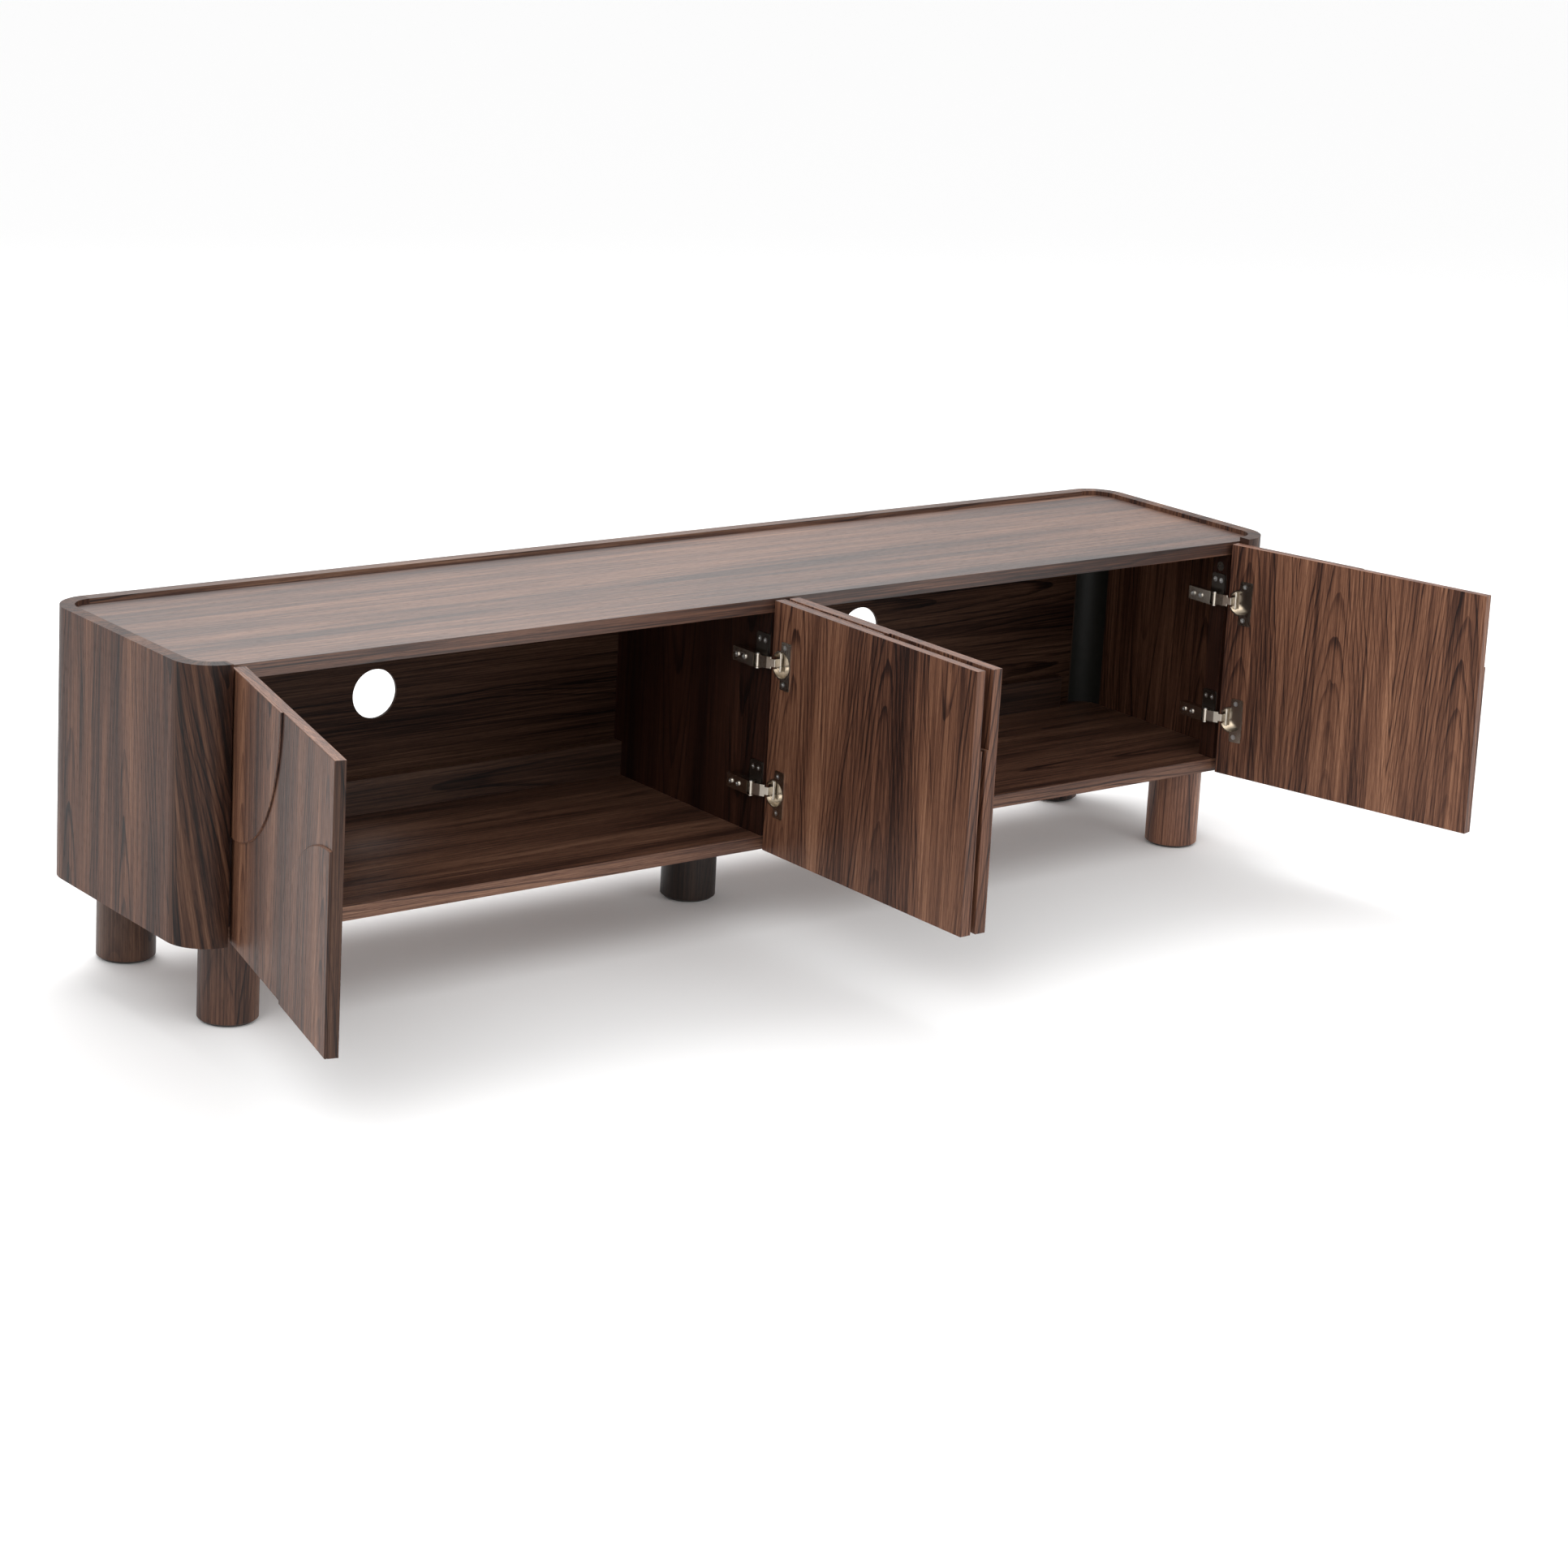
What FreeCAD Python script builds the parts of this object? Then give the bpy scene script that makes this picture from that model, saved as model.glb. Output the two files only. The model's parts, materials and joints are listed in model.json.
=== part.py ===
import FreeCAD, Part
import math
import os

from FreeCAD import Rotation, Vector

# Media cabinet: a low four-door case on five round legs.
# Origin: on the floor under the middle leg. +X right, +Y towards the back, +Z up. Millimetres.

# Case
WIDTH = 1700.0
HALF = WIDTH / 2
LEG_HEIGHT = 114.0
CASE_HEIGHT = 330.0          # underside of the bottom panel to the top of the top panel
LIP = 6.0                    # how far the shells and back stand above the top panel
BOARD = 18.0
FRONT = -175.0               # front edges of the panels
BACK = 175.0                 # rear face
SHELL_FRONT = FRONT - BOARD  # front face of the curved ends
CORNER_R = 50.0
RETURN_END = 798.0           # where the curved end stops at the front
CASE_BOTTOM = LEG_HEIGHT
CASE_TOP = CASE_BOTTOM + CASE_HEIGHT
RIM_TOP = CASE_TOP + LIP
INSIDE_BOTTOM = CASE_BOTTOM + BOARD
INSIDE_TOP = CASE_TOP - BOARD
PANEL_BACK = BACK - BOARD
BACK_THICK = 4.0             # thin back panel, which lies on the rear edges of the boards
BACK_GAP = 0.2               # back panel and rail to the curved ends, each side
CLEAT_HEIGHT = 46.0
CLEAT_END = 770.0
DIVIDER_HALF = 18.5
STRIP_DEPTH = 28.0
CABLE_HOLE_R = 32.5
CABLE_HOLE_X = 396.0
CABLE_HOLE_Z = CASE_BOTTOM + 170.0

# Legs
LEG_R = 36.5
LEG_X = 758.0
LEG_FRONT_Y = -125.0
LEG_REAR_Y = 131.0
LEG_SOFT = 1.5
GLIDE_HEIGHT = 3.0
GLIDE_R = 32.5
GLIDE_SOFT = 0.8
PLATE_HEIGHT = 2.0
PLATE_R = 33.5
LEG_BOLT_R = 4.0
LEG_BOLT_LOW = 72.0
LEG_BOLT_BITE = 11.0         # how far the bolt reaches into the bottom panel
BOLT_ROOM_LOW = 2.0          # hole beyond the bolt's lower and upper ends
BOLT_ROOM_HIGH = 0.2
LEG_SCREW_CIRCLE = 24.0      # radius of the ring of four plate screws

# Screws: length, shank radius, head radius, head height, countersunk
LEG_SCREW = (13.0, 1.8, 3.6, 1.9, True)
RAIL_SCREW = (42.0, 2.2, 4.6, 2.6, True)
BACK_SCREW = (16.0, 1.75, 3.4, 1.8, True)
CUP_SCREW = (11.0, 1.7, 3.6, 1.2, True)
PLATE_SCREW = (15.0, 1.8, 3.7, 1.6, True)
ARM_SCREW = (11.0, 2.0, 3.4, 1.5, False)
BORE_GAP = 0.04              # radial clearance of a screw or bolt in its hole
CROSS_ARM = 0.62             # cross slot: reach and half width in head radii, depth in head heights
CROSS_SLOT = 0.14
CROSS_DEEP = 0.6
BACK_SCREW_X = (190.0, 440.0, 690.0)
BACK_SCREW_INSET = 90.0      # divider screws from the case's top and bottom

# Cam locks that join the divider and the hinge strips to the panels
CAM_R = 6.5
CAM_DEPTH = 12.0
CAM_INSET = 19.0             # cam centre from the panel it pulls against
STRIP_CAM_Y = FRONT + 14.0
DIVIDER_CAM_Y = (FRONT + 70.0, FRONT + 260.0)
CAM_SLOT_HALF = 1.0
CAM_SLOT_REACH = 4.5
CAM_SLOT_DEEP = 1.4
CAM_GAP = 0.1                # cam to its pocket
CAM_BOLT_R = 3.0
CAM_BOLT_IN = 8.5            # bolt axis behind the board's face
CAM_BOLT_END = 30.0          # bolt end from the cam's centre
CAM_BOLT_ROOM = 5.0          # channel beyond the bolt's end
CAM_BOLT_TIP = 0.2           # panel hole beyond the bolt's end
CAM_CHANNEL_GAP = 0.5

# Doors
END_HINGE_X = 795.0          # closed hinge edge of an outer door
MID_HINGE_X = 2.3            # closed hinge edge of an inner door
FREE_GAP = 3.0
DOOR_WIDTH = (END_HINGE_X - MID_HINGE_X - FREE_GAP) / 2
DOOR_BOTTOM = CASE_BOTTOM + 1.0
DOOR_TOP = CASE_TOP - 1.0
DOOR_GAP = 2.0               # door to panel edge when closed
DOOR_BASE = 13.0
RELIEF = 3.0
CORNER_RELIEF_R = 200.0      # raised quarter disc at the top hinge corner
EDGE_RELIEF_R = 183.0        # raised part disc on the free edge
EDGE_RELIEF_Z = 46.0         # its centre above the door's lower edge
EDGE_SOFT = 1.2

# Concealed hinges. Local frame of a door hung on its left: x from the closed hinge edge
# towards the free edge, y rearwards from the panels' front edges.
HINGE_INSET = 80.0           # hinge centre from the door's top and bottom
MOUNT_X = 16.2               # face the mounting plate is screwed to
ARM_PIN = (28.6, 9.5)
CUP_PIN = (6.4, -10.6)
LINK_SHARE = 0.057           # link turn per unit of door turn, the other way
CUP_X = 20.0
CUP_R = 17.4
CUP_DEPTH = 12.0
CUP_WALL = 0.5
CUP_GAP = 0.1                # cup to its bore in the door
CUP_PILOT_END = 13.0         # bottom of the cup screws' holes, y
FLANGE = 1.2
FLANGE_X = (19.0, 38.0)      # straight strip of the flange, which carries the screws
FLANGE_HALF = 31.0
FLANGE_RIM = 1.4
FLANGE_CORNER = 2.5
FLANGE_SHORT = 0.4           # the ring stops this far inside the cup's hinge side
CUP_SCREW_X = 26.0
CUP_SCREW_Z = 24.0
CUP_PIN_R = 1.25
ARM_PIN_R = 1.5
PIN_CLEARANCE = 0.05         # pin to the turning link, radial
PIN_FIT = 0.02               # pin to the cup or arm that holds it, radial
BOSS_R = 2.6                 # pin bosses inside the cup
BOSS_HALF = 12.0
BOSS_IN = 5.4
NOTCH_X = 7.5                # opening in the cup's rim for the link
NOTCH_DEPTH = 4.0
NOTCH_SIDE = 0.6
CUP_EYE_WALL = 0.85
ARM_EYE_WALL = 1.2
EAR_WALL = 2.5
PIN_HEAD = 1.0               # how far the arm pin's heads stand out
PIN_HEAD_THICK = 0.65
PIN_HEAD_GAP = 0.05
LINK_KNEES = ((16.4, -12.2), (22.5, -3.0))
LINK_HALF = 0.9              # half the link's thickness
LINK_NARROW = 5.0            # half its height inside the cup
LINK_WIDE = 7.6              # half its height at the arm
EAR_IN = 8.0
EAR_OUT = 9.2
CUP_PIN_HALF = 9.0
PLATE_THICK = 2.2
WING_Y = (1.5, 26.5)
WING_Z = (-10.0, 34.0)
WING_CORNER = 4.0
WING_SCREW_Y = (8.5, 20.0)
WING_SCREW_Z = 25.0
SADDLE_Y = (16.0, 53.0)
SADDLE_HALF = 6.2
ARM_TOP = 31.6
ARM_WEB = 1.4
SADDLE_TOP = ARM_TOP - ARM_WEB - MOUNT_X    # height above the mounting face
ARM_END = 57.0
ARM_FLOOR = MOUNT_X + PLATE_THICK + 0.2     # lower edge of the ears, clear of the wing
ARM_NOSE_Y = 5.5
ARM_SHOULDER = (32.4, 8.2)
ARM_STRAIGHT_Y = 14.0        # where the arm's flat top begins
ARM_LOW = 21.0               # lower edge of the channel's sides
ARM_STEP_Y = (25.5, 29.0)
ARM_SCREW_Y = (33.0, 48.0)

# door number: side (+1 hung on its left), hinge edge x, open angle
DOORS = {
    1: (1, -END_HINGE_X, 104.0),
    2: (-1, -MID_HINGE_X, 90.0),
    3: (1, MID_HINGE_X, 90.0),
    4: (-1, END_HINGE_X, 104.0),
}


def block(low, high):
    size = Vector(*high).sub(Vector(*low))
    return Part.makeBox(size.x, size.y, size.z, Vector(*low))


def rod(start, end, radius):
    axis = Vector(*end).sub(Vector(*start))
    return Part.makeCylinder(radius, axis.Length, Vector(*start), axis)


def prism(outline, z0, z1):
    points = [Vector(x, y, z0) for x, y in outline]
    face = Part.Face(Part.makePolygon(points + points[:1]))
    return face.extrude(Vector(0, 0, z1 - z0))


def fuse(shapes):
    return shapes[0].multiFuse(shapes[1:]).removeSplitter()


def mirrored(shape):
    return shape.mirror(Vector(0, 0, 0), Vector(1, 0, 0))


def moved(shape, x, y, z):
    copy = shape.copy()
    copy.translate(Vector(x, y, z))
    return copy


def aimed(shape, place, direction):
    """Turn a fastener drawn along -Z so that it points along direction."""
    copy = shape.copy()
    turn = Rotation(Vector(0, 0, -1), Vector(*direction))
    copy.Placement = FreeCAD.Placement(Vector(*place), turn)
    return copy


def screw_head(shank_r, head_r, height, countersunk):
    if not countersunk:
        return Part.makeCylinder(head_r, height, Vector(0, 0, -height))
    return Part.makeCone(shank_r, head_r, height, Vector(0, 0, -height))


def screw(length, shank_r, head_r, head_height, countersunk):
    """Cross-head screw, head top at z=0, pointing down."""
    head = screw_head(shank_r, head_r, head_height, countersunk)
    shank = Part.makeCylinder(shank_r, length - head_height, Vector(0, 0, -length))
    body = head.fuse(shank)
    arm = head_r * CROSS_ARM
    slot = head_r * CROSS_SLOT
    deep = head_height * CROSS_DEEP
    cross = block((-arm, -slot, -deep), (arm, slot, 1)).fuse(block((-slot, -arm, -deep), (slot, arm, 1)))
    return body.cut(cross)


def screw_hole(length, shank_r, head_r, head_height, countersunk):
    """Clearance hole for the same screw, reaching a little above its head."""
    gap = BORE_GAP
    head = screw_head(shank_r + gap, head_r + gap, head_height + gap, countersunk)
    shank = Part.makeCylinder(shank_r + gap, length + gap, Vector(0, 0, -length - gap))
    above = Part.makeCylinder(head_r + gap, 3, Vector(0, 0, -0.001))
    return fuse([head, shank, above])


def rounded_plan(inset, z0, z1):
    """Slab with the plan of the whole case, made smaller by inset all round, corners rounded."""
    low = (-HALF + inset, SHELL_FRONT + inset, z0)
    high = (HALF - inset, BACK - inset, z1)
    slab = block(low, high)
    upright = [edge for edge in slab.Edges if abs(edge.BoundBox.ZLength - (z1 - z0)) < 0.01]
    return slab.makeFillet(CORNER_R - inset, upright)


def shell_right():
    """Bent end: front return, front corner, side and rear corner in one curved board."""
    skin = rounded_plan(0, CASE_BOTTOM, RIM_TOP)
    skin = skin.cut(rounded_plan(BOARD, CASE_BOTTOM - 1, RIM_TOP + 1))
    keep = block((RETURN_END, SHELL_FRONT - 1, 0), (HALF + 1, 0, 600))
    keep = keep.fuse(block((HALF - CORNER_R, -1, 0), (HALF + 1, BACK + 1, 600)))
    return skin.common(keep)


def panel(z0, z1):
    slab = rounded_plan(BOARD + 0.05, z0, z1)
    edge = block((-HALF, SHELL_FRONT - 1, z0 - 1), (HALF, FRONT, z1 + 1))
    return slab.cut(edge)


def back_panel():
    end = HALF - CORNER_R - BACK_GAP
    board = block((-end, PANEL_BACK, CASE_BOTTOM),
                  (end, PANEL_BACK + BACK_THICK, INSIDE_TOP - BACK_GAP))
    for x in (-CABLE_HOLE_X, CABLE_HOLE_X):
        hole = rod((x, PANEL_BACK - 1, CABLE_HOLE_Z), (x, BACK + 1, CABLE_HOLE_Z), CABLE_HOLE_R)
        board = board.cut(hole)
    return board


def back_rail():
    """Thick rail behind the top panel. Its upper edge is the rear part of the rim."""
    end = HALF - CORNER_R - BACK_GAP
    return block((-end, PANEL_BACK, INSIDE_TOP), (end, BACK, RIM_TOP))


def back_cleat_right():
    return block((DIVIDER_HALF, PANEL_BACK - BOARD, INSIDE_BOTTOM),
                 (CLEAT_END, PANEL_BACK, INSIDE_BOTTOM + CLEAT_HEIGHT))


def centre_divider():
    return block((-DIVIDER_HALF, FRONT, INSIDE_BOTTOM), (DIVIDER_HALF, PANEL_BACK, INSIDE_TOP))


def hinge_strip_right():
    inner = END_HINGE_X - MOUNT_X
    return block((inner, FRONT, INSIDE_BOTTOM), (inner + BOARD, FRONT + STRIP_DEPTH, INSIDE_TOP))


def leg():
    height = LEG_HEIGHT - GLIDE_HEIGHT - PLATE_HEIGHT
    body = Part.makeCylinder(LEG_R, height, Vector(0, 0, GLIDE_HEIGHT))
    body = body.makeFillet(LEG_SOFT, body.Edges[0:1] + body.Edges[2:3])
    return body.cut(bolt_bore(0, 0))


def leg_places():
    places = {"leg_centre": (0.0, 0.0)}
    for side, x in (("left", -LEG_X), ("right", LEG_X)):
        places["leg_front_" + side] = (x, LEG_FRONT_Y)
        places["leg_rear_" + side] = (x, LEG_REAR_Y)
    return places


def leg_glide():
    disc = Part.makeCylinder(GLIDE_R, GLIDE_HEIGHT)
    return disc.makeFillet(GLIDE_SOFT, disc.Edges[2:3])


def leg_plate():
    disc = Part.makeCylinder(PLATE_R, PLATE_HEIGHT, Vector(0, 0, LEG_HEIGHT - PLATE_HEIGHT))
    return disc.cut(bolt_bore(0, 0))


def leg_bolt():
    return rod((0, 0, LEG_BOLT_LOW), (0, 0, LEG_HEIGHT + LEG_BOLT_BITE), LEG_BOLT_R)


def bolt_bore(x, y):
    """Hole for a leg bolt, a little longer than the bolt at both ends."""
    low = LEG_BOLT_LOW - BOLT_ROOM_LOW
    high = LEG_HEIGHT + LEG_BOLT_BITE + BOLT_ROOM_HIGH
    return rod((x, y, low), (x, y, high), LEG_BOLT_R + BORE_GAP)


def leg_screw_places():
    places = []
    for x, y in leg_places().values():
        for turn in (45, 135, 225, 315):
            dx = LEG_SCREW_CIRCLE * math.cos(math.radians(turn))
            dy = LEG_SCREW_CIRCLE * math.sin(math.radians(turn))
            places.append((x + dx, y + dy, LEG_HEIGHT - PLATE_HEIGHT))
    return places


def rail_screw_places():
    height = CASE_TOP - BOARD / 2
    return [(side * x, BACK, height) for x in BACK_SCREW_X for side in (-1, 1)]


def back_screw_places():
    """Along the bottom panel's rear edge, and two in the divider's."""
    face = PANEL_BACK + BACK_THICK
    places = [(side * x, face, CASE_BOTTOM + BOARD / 2) for x in BACK_SCREW_X for side in (-1, 1)]
    for z in (CASE_BOTTOM + BACK_SCREW_INSET, CASE_TOP - BACK_SCREW_INSET):
        places.append((0, face, z))
    return places


def cam_places():
    """Cam centre on a board's face, way into the board along X, way to the panel along Z."""
    places = []
    strip = END_HINGE_X - MOUNT_X
    low = INSIDE_BOTTOM + CAM_INSET
    high = INSIDE_TOP - CAM_INSET
    places.append((strip, STRIP_CAM_Y, high, 1, 1))
    places.append((-strip, STRIP_CAM_Y, high, -1, 1))
    for y in DIVIDER_CAM_Y:
        places.append((DIVIDER_HALF, y, low, -1, -1))
        places.append((DIVIDER_HALF, y, high, -1, 1))
    return places


def cam(x, y, z, inward):
    """Cam lock, a disc set flush into a board's face, with a cross slot."""
    disc = rod((x, y, z), (x + inward * CAM_DEPTH, y, z), CAM_R)
    half = CAM_SLOT_HALF
    reach = CAM_SLOT_REACH
    deep = CAM_SLOT_DEEP
    slot = block((x - deep, y - reach, z - half), (x + deep, y + reach, z + half))
    slot = slot.fuse(block((x - deep, y - half, z - reach), (x + deep, y + half, z + reach)))
    return disc.cut(slot.removeSplitter())


def cam_hole(x, y, z, inward, up):
    pocket = rod((x - inward, y, z), (x + inward * (CAM_DEPTH + CAM_GAP), y, z), CAM_R + CAM_GAP)
    axis = x + inward * CAM_BOLT_IN
    top = z + up * (CAM_BOLT_END + CAM_BOLT_ROOM)
    channel = rod((axis, y, z), (axis, y, top), CAM_BOLT_R + CAM_CHANNEL_GAP)
    return pocket.fuse(channel)


def cam_bolt(x, y, z, inward, up):
    axis = x + inward * CAM_BOLT_IN
    return rod((axis, y, z + up * (CAM_R + CAM_GAP)), (axis, y, z + up * CAM_BOLT_END), CAM_BOLT_R)


def cam_bolt_hole(x, y, z, inward, up):
    axis = x + inward * CAM_BOLT_IN
    return rod((axis, y, z), (axis, y, z + up * (CAM_BOLT_END + CAM_BOLT_TIP)), CAM_BOLT_R + BORE_GAP)


def drilled(board, holes):
    near = [hole for hole in holes if hole.BoundBox.intersect(board.BoundBox)]
    return board.cut(near) if near else board


# ---- doors, drawn closed and hung on the left, z from the floor ----

def hinge_heights():
    return (DOOR_BOTTOM + HINGE_INSET, DOOR_TOP - HINGE_INSET)


def face_y():
    return -(DOOR_GAP + DOOR_BASE)


def door_board():
    board = block((0, face_y(), DOOR_BOTTOM), (DOOR_WIDTH, -DOOR_GAP, DOOR_TOP))
    outer = [edge for edge in board.Edges if edge.BoundBox.YMax < face_y() + 0.01]
    board = board.makeFillet(EDGE_SOFT, outer)
    holes = []
    for z in hinge_heights():
        floor = -DOOR_GAP - CUP_DEPTH - CUP_GAP
        holes.append(rod((CUP_X, floor, z), (CUP_X, 0, z), CUP_R + CUP_GAP))
        for dz in (-CUP_SCREW_Z, CUP_SCREW_Z):
            bottom = (CUP_SCREW_X, -CUP_PILOT_END, z + dz)
            holes.append(rod(bottom, (CUP_SCREW_X, 0, z + dz), CUP_SCREW[1] + BORE_GAP))
    return board.cut(holes)


def relief(centre_x, centre_z, radius):
    """Raised part of a disc lying on the door's outer face, cut off at the door's edges."""
    base = face_y()
    disc = Part.makeCylinder(radius, RELIEF, Vector(centre_x, base - RELIEF, centre_z), Vector(0, 1, 0))
    area = block((0, base - RELIEF - 1, DOOR_BOTTOM), (DOOR_WIDTH, base, DOOR_TOP))
    piece = disc.common(area)
    outer = [edge for edge in piece.Edges if edge.BoundBox.YMax < base - RELIEF + 0.01]
    return piece.makeFillet(EDGE_SOFT, outer)


def corner_overlay():
    return relief(0, DOOR_TOP, CORNER_RELIEF_R)


def edge_overlay():
    return relief(DOOR_WIDTH, DOOR_BOTTOM + EDGE_RELIEF_Z, EDGE_RELIEF_R)


def flange():
    """Screw flange of the cup: a straight strip joined to a ring round the cup."""
    seat = -DOOR_GAP
    strip = block((FLANGE_X[0], seat, -FLANGE_HALF), (FLANGE_X[1], seat + FLANGE, FLANGE_HALF))
    corners = [edge for edge in strip.Edges if edge.BoundBox.YLength > 1 and edge.BoundBox.ZLength < 0.1]
    strip = strip.makeFillet(FLANGE_CORNER, corners)
    ring = rod((CUP_X, seat, 0), (CUP_X, seat + FLANGE, 0), CUP_R + FLANGE_RIM)
    hinge_side = block((-10, -10, -40), (CUP_X - CUP_R + FLANGE_SHORT, 5, 40))
    return [strip, ring.cut(hinge_side)]


def hinge_cup():
    """Pressed cup with its screw flange, and two bosses that hold the pin. Centred on z=0."""
    seat = -DOOR_GAP
    barrel = rod((CUP_X, seat - CUP_DEPTH, 0), (CUP_X, seat, 0), CUP_R)
    body = fuse(flange() + [barrel])
    inside = rod((CUP_X, seat - CUP_DEPTH + CUP_WALL, 0), (CUP_X, 5, 0), CUP_R - CUP_WALL)
    body = body.cut(inside)
    boss = rod((*CUP_PIN, -BOSS_HALF), (*CUP_PIN, BOSS_HALF), BOSS_R)
    boss = boss.cut(block((0, -20, -BOSS_IN), (20, 5, BOSS_IN)))
    boss = boss.common(rod((CUP_X, seat - CUP_DEPTH, 0), (CUP_X, seat, 0), CUP_R))
    body = fuse([body] + boss.Solids)
    side = LINK_WIDE + NOTCH_SIDE
    notch = block((0, seat - NOTCH_DEPTH, -side), (NOTCH_X, 5, side))
    end = CUP_PIN_HALF + PIN_FIT
    pin_hole = rod((*CUP_PIN, -end), (*CUP_PIN, end), CUP_PIN_R + PIN_FIT)
    body = body.cut(notch).cut(pin_hole)
    for z in (-CUP_SCREW_Z, CUP_SCREW_Z):
        body = body.cut(aimed(screw_hole(*CUP_SCREW), (CUP_SCREW_X, seat + FLANGE, z), (0, -1, 0)))
    return body


def cup_pin():
    x, y = CUP_PIN
    return rod((x, y, -CUP_PIN_HALF), (x, y, CUP_PIN_HALF), CUP_PIN_R)


def bar(start, end, half_width):
    """Flat steel bar between two points of the link's path, with rounded ends."""
    along = Vector(end[0] - start[0], end[1] - start[1], 0)
    side = Vector(-along.y, along.x, 0).normalize().multiply(LINK_HALF)
    a = Vector(start[0], start[1], 0)
    b = Vector(end[0], end[1], 0)
    outline = [(p.x, p.y) for p in (a + side, b + side, b - side, a - side)]
    pieces = [prism(outline, -half_width, half_width)]
    for x, y in (start, end):
        pieces.append(rod((x, y, -half_width), (x, y, half_width), LINK_HALF))
    return pieces


def hinge_link():
    """Gooseneck link: a narrow part inside the cup, a wide part to the arm's pin."""
    knee, neck = LINK_KNEES
    middle = ((knee[0] + neck[0]) / 2, (knee[1] + neck[1]) / 2)
    narrow = bar(CUP_PIN, knee, LINK_NARROW) + bar(knee, middle, LINK_NARROW)
    wide = bar(middle, neck, LINK_WIDE) + bar(neck, ARM_PIN, LINK_WIDE)
    cup_eye = rod((*CUP_PIN, -LINK_NARROW), (*CUP_PIN, LINK_NARROW), CUP_PIN_R + CUP_EYE_WALL)
    arm_eye = rod((*ARM_PIN, -LINK_WIDE), (*ARM_PIN, LINK_WIDE), ARM_PIN_R + ARM_EYE_WALL)
    body = fuse(narrow + wide + [cup_eye, arm_eye])
    body = body.cut(rod((*CUP_PIN, -EAR_OUT), (*CUP_PIN, EAR_OUT), CUP_PIN_R + PIN_CLEARANCE))
    return body.cut(rod((*ARM_PIN, -EAR_OUT), (*ARM_PIN, EAR_OUT), ARM_PIN_R + PIN_CLEARANCE))


def hinge_plate():
    """Wing plate screwed to the upright above the arm, with a saddle that carries the arm."""
    face = MOUNT_X + PLATE_THICK
    wing = block((MOUNT_X, WING_Y[0], WING_Z[0]), (face, WING_Y[1], WING_Z[1]))
    corners = [edge for edge in wing.Edges if edge.BoundBox.XLength > 1 and edge.BoundBox.YLength < 0.1]
    wing = wing.makeFillet(WING_CORNER, corners)
    saddle = block((MOUNT_X, SADDLE_Y[0], -SADDLE_HALF), (MOUNT_X + SADDLE_TOP, SADDLE_Y[1], SADDLE_HALF))
    body = wing.fuse(saddle).removeSplitter()
    for y in WING_SCREW_Y:
        body = body.cut(aimed(screw_hole(*PLATE_SCREW), (face, y, WING_SCREW_Z), (-1, 0, 0)))
    for y in ARM_SCREW_Y:
        body = body.cut(aimed(screw_hole(*ARM_SCREW), (ARM_TOP + ARM_SCREW[3], y, 0), (-1, 0, 0)))
    return body


def arm_profile():
    """Side view of the arm: ears at the front, then a low channel."""
    return [(ARM_FLOOR, ARM_NOSE_Y), (ARM_PIN[0], ARM_NOSE_Y), ARM_SHOULDER,
            (ARM_TOP, ARM_STRAIGHT_Y), (ARM_TOP, ARM_END), (ARM_LOW, ARM_END),
            (ARM_LOW, ARM_STEP_Y[1]), (ARM_FLOOR, ARM_STEP_Y[0])]


def hinge_arm():
    """Channel arm over the saddle, with two ears for the link's pin."""
    ears = []
    for z0, z1 in ((-EAR_OUT, -EAR_IN), (EAR_IN, EAR_OUT)):
        ears.append(prism(arm_profile(), z0, z1))
        ears.append(rod((*ARM_PIN, z0), (*ARM_PIN, z1), ARM_PIN_R + EAR_WALL))
    web = block((ARM_TOP - ARM_WEB, ARM_STRAIGHT_Y, -EAR_OUT), (ARM_TOP, ARM_END, EAR_OUT))
    body = fuse(ears + [web])
    body = body.cut(rod((*ARM_PIN, -EAR_OUT), (*ARM_PIN, EAR_OUT), ARM_PIN_R + PIN_FIT))
    for y in ARM_SCREW_Y:
        hole = rod((ARM_LOW, y, 0), (ARM_TOP + 1, y, 0), ARM_SCREW[1] + BORE_GAP)
        body = body.cut(hole)
    return body


def arm_pin():
    """Pin through the link, with a flat head outside each ear."""
    under = EAR_OUT + PIN_HEAD_GAP
    end = under + PIN_HEAD_THICK
    pieces = [rod((*ARM_PIN, -end), (*ARM_PIN, end), ARM_PIN_R)]
    for z0, z1 in ((-end, -under), (under, end)):
        pieces.append(rod((*ARM_PIN, z0), (*ARM_PIN, z1), ARM_PIN_R + PIN_HEAD))
    return fuse(pieces)


def cup_screws():
    heads = []
    for z in (-CUP_SCREW_Z, CUP_SCREW_Z):
        heads.append(aimed(screw(*CUP_SCREW), (CUP_SCREW_X, -DOOR_GAP + FLANGE, z), (0, -1, 0)))
    return heads


def plate_screw_places():
    return [(MOUNT_X + PLATE_THICK, y, WING_SCREW_Z) for y in WING_SCREW_Y]


def plate_screws():
    return [aimed(screw(*PLATE_SCREW), place, (-1, 0, 0)) for place in plate_screw_places()]


def arm_screws():
    head_top = ARM_TOP + ARM_SCREW[3]
    return [aimed(screw(*ARM_SCREW), (head_top, y, 0), (-1, 0, 0)) for y in ARM_SCREW_Y]


def at_both_hinges(solids):
    return [moved(solid, 0, 0, z) for z in hinge_heights() for solid in solids]


def turned(shape, pivot, degrees):
    copy = shape.copy()
    copy.rotate(Vector(pivot[0], pivot[1], 0), Vector(0, 0, 1), degrees)
    return copy


def link_opened(shape, angle):
    return turned(shape, ARM_PIN, LINK_SHARE * angle)


def door_opened(shape, angle):
    swung = turned(shape, CUP_PIN, -(1 + LINK_SHARE) * angle)
    return link_opened(swung, angle)


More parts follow.
